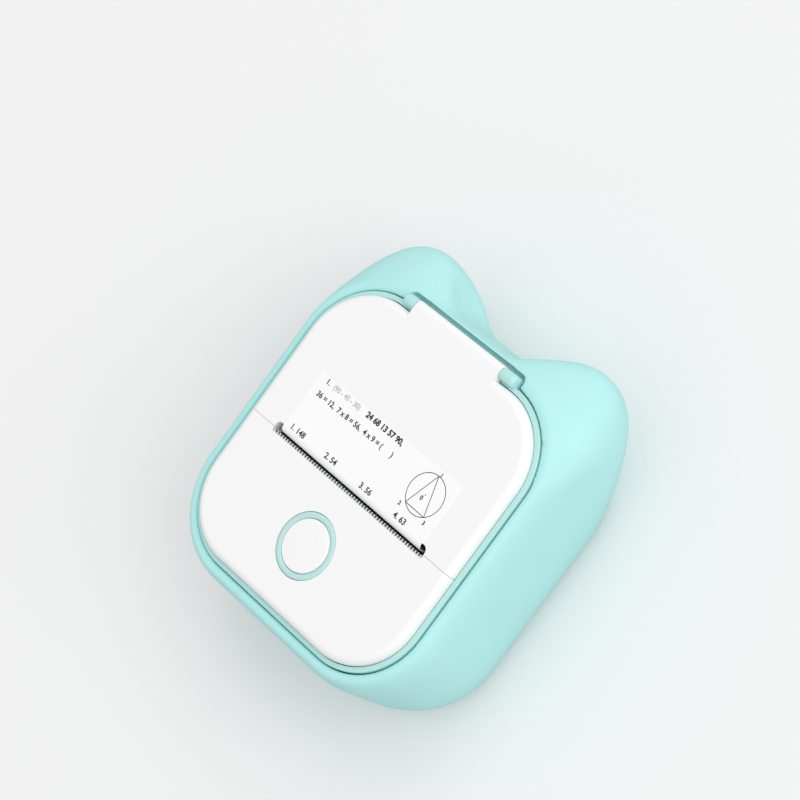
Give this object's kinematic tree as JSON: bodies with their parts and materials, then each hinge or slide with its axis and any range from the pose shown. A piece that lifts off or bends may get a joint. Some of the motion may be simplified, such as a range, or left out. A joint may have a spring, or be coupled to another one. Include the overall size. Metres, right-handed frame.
{
  "type": "portable thermal printer",
  "caption": "Pocket thermal printer in a soft sleeve with two rounded ears, with a hinged paper lid, a toothed tear slit, a round button, and a geared platen that feeds a paper roll.",
  "frame": {"origin": "on the flat back of the sleeve, on which the printer lies, behind the middle of the white face", "axes": "+X to the right across the face, +Y up the face towards the ears, +Z out of the face; at rest the lid is shut, the button is out and the print head is against its stop"},
  "size_m": [0.0904, 0.1027, 0.0433],
  "materials": {
    "sleeve": "soft matte silicone",
    "white_shell": "satin",
    "mint_shell": "satin",
    "inner_plastic": "moulded",
    "steel": "brushed",
    "gear_plastic": "moulded",
    "platen_rubber": "matte",
    "ceramic_head": "smooth",
    "aluminium_sink": "satin",
    "thermal_paper": "smooth",
    "circuit_board": "solder mask",
    "cell_wrap": "film"
  },
  "bodies": {
    "root": {"silicone_sleeve": "sleeve", "rear_case": "mint_shell", "front_bezel": "mint_shell", "lower_front_panel": "white_shell", "tear_bar": "steel", "hinge_pin": "steel", "button_ring": "mint_shell", "idler_post": "steel", "stepper_motor": "steel", "head_springs": "steel", "head_pivot_pin": "steel", "mechanism_frame": "steel", "paper_tray": "inner_plastic", "paper_sensor": "inner_plastic", "inner_paper": "thermal_paper", "main_board": "circuit_board", "power_switch": "inner_plastic", "ring_lights": "circuit_board", "usb_port": "steel", "battery": "cell_wrap", "head_cable": "circuit_board", "case_screws": "steel", "frame_screws": "steel", "board_screws": "steel"},
    "lid": {"paper_lid": "white_shell", "lid_inner_frame": "inner_plastic", "lid_screws": "steel", "platen_bushings": "gear_plastic", "printed_strip": "thermal_paper"},
    "platen": {"platen_roller": "platen_rubber", "platen_shaft": "steel", "platen_gear": "gear_plastic"},
    "button": {"power_button": "white_shell"},
    "idler": {"idler_gear": "gear_plastic"},
    "pinion": {"motor_pinion": "gear_plastic"},
    "roll": {"paper_roll": "thermal_paper", "roll_core": "inner_plastic"},
    "head": {"print_head": "ceramic_head", "head_heat_sink": "aluminium_sink"}
  },
  "joints": [
    {"name": "lid_hinge", "type": "hinge", "parent": "root", "child": "lid", "pos_m": [0, 0.04225, 0.0412], "axis": [-1, 0, 0], "range_deg": [0, 105]},
    {"name": "platen_spin", "type": "hinge", "parent": "lid", "child": "platen", "pos_m": [0, 0.0006, 0.0335], "axis": [1, 0, 0], "continuous": true},
    {"name": "idler_spin", "type": "hinge", "parent": "root", "child": "idler", "pos_m": [0, 0.00205, 0.02563], "axis": [1, 0, 0], "continuous": true},
    {"name": "motor_spin", "type": "hinge", "parent": "root", "child": "pinion", "pos_m": [0, -0.00381, 0.01403], "axis": [1, 0, 0], "continuous": true},
    {"name": "roll_spin", "type": "hinge", "parent": "root", "child": "roll", "pos_m": [0, 0.021, 0.02], "axis": [1, 0, 0], "continuous": true},
    {"name": "button_press", "type": "slide", "parent": "root", "child": "button", "axis": [0, 0, 1], "range_m": [-0.0005, 0], "stiffness_N_per_m": 250, "springref_m": 0.001},
    {"name": "head_pivot", "type": "hinge", "parent": "root", "child": "head", "pos_m": [0, -0.00182, 0.02379], "axis": [1, 0, 0], "range_deg": [0, 2], "stiffness_Nm_per_rad": 0.1, "springref_deg": -5.73, "deforming": ["head_springs"]}
  ],
  "couplings": [
    {"joint": "idler_spin", "follows": "platen_spin", "ratio": -0.77778},
    {"joint": "motor_spin", "follows": "platen_spin", "ratio": 2.5926},
    {"joint": "roll_spin", "follows": "platen_spin", "ratio": 0.30714}
  ]
}
